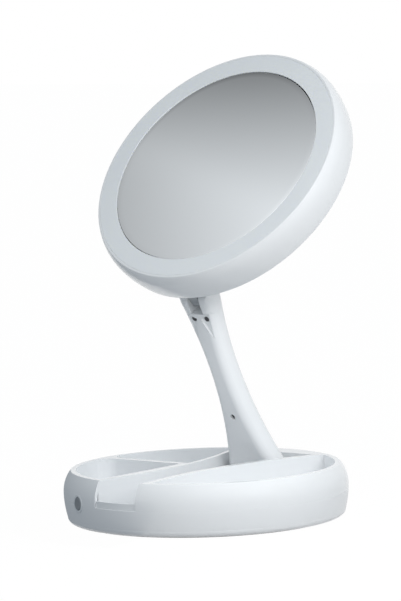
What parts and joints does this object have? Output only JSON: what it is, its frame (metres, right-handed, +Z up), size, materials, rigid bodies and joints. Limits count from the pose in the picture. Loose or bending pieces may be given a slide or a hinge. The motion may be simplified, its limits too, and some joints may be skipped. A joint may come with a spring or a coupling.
{
  "type": "folding makeup mirror",
  "caption": "Round lighted makeup mirror on a folding arm that packs flat into a round tray base with open compartments.",
  "frame": {"origin": "centre of the rubber foot ring's underside, on the surface that the base stands on", "axes": "+Z up, -Y towards the notch in the base's front, +X to the right seen from the front"},
  "size_m": [0.18, 0.1825, 0.2892],
  "materials": {
    "shell": "glossy moulded white",
    "lower_shell": "glossy moulded white",
    "foot": "matt",
    "cell": "printed sleeve, left plain",
    "steel": "plain",
    "board": "lacquered",
    "switch": "matt",
    "bezel": "glossy",
    "button": "satin",
    "lead": "satin sleeve",
    "screw": "dark plated",
    "bush": "satin",
    "lug": "satin",
    "diffuser": "frosted",
    "mirror": "silvered glass",
    "foam": "foam",
    "lamp_board": "lacquered",
    "lamp": "glossy"
  },
  "bodies": {
    "base": {"base_top": "shell", "base_bottom": "lower_shell", "foot_ring": "foot", "battery_cells": "cell", "battery_springs": "steel", "battery_contacts": "steel", "control_board": "board", "switch_module": "switch", "button_bezel": "bezel", "power_inlet": "steel", "inlet_board": "board", "base_lead": "lead", "base_screws": "screw", "hinge_bracket_left": "steel", "hinge_bracket_right": "steel", "bracket_screws": "screw", "hinge_axle_left": "steel", "hinge_sleeve_right": "steel", "friction_washers": "steel"},
    "button": {"power_button": "button"},
    "door_left": {"battery_door_left": "lower_shell"},
    "door_right": {"battery_door_right": "lower_shell"},
    "arm": {"arm_shell": "shell", "arm_cover": "shell", "arm_screws": "screw", "arm_lead": "lead", "hinge_bushes": "bush", "head_pivot_pin": "steel", "pivot_cap": "shell", "pivot_washers": "steel"},
    "head": {"head_lug": "lug", "lug_screws": "screw", "head_shell": "shell", "light_ring": "diffuser", "mirror_glass": "mirror", "adhesive_pad": "foam", "mirror_carrier": "bush", "led_board": "lamp_board", "led_chips": "lamp", "head_screws": "screw", "head_lead": "lead"}
  },
  "joints": [
    {"name": "arm_fold", "type": "hinge", "parent": "base", "child": "arm", "pos_m": [0, 0.0563, 0.0203], "axis": [1, 0, 0], "range_deg": [-25, 65]},
    {"name": "head_fold", "type": "hinge", "parent": "arm", "child": "head", "pos_m": [0, 0.00051, 0.13993], "axis": [1, 0, 0], "range_deg": [-115.4, 44.4]},
    {"name": "button_press", "type": "slide", "parent": "base", "child": "button", "axis": [0.3907, 0.9205, 0], "range_m": [0, 0.001], "stiffness_N_per_m": 800, "springref_m": -0.0005},
    {"name": "left_door_off", "type": "slide", "parent": "base", "child": "door_left", "axis": [0, 0, -1], "range_m": [0, 0.012]},
    {"name": "right_door_off", "type": "slide", "parent": "base", "child": "door_right", "axis": [0, 0, -1], "range_m": [0, 0.012]}
  ],
  "couplings": [
    {"joint": "head_fold", "follows": "arm_fold", "ratio": -1.7754}
  ]
}
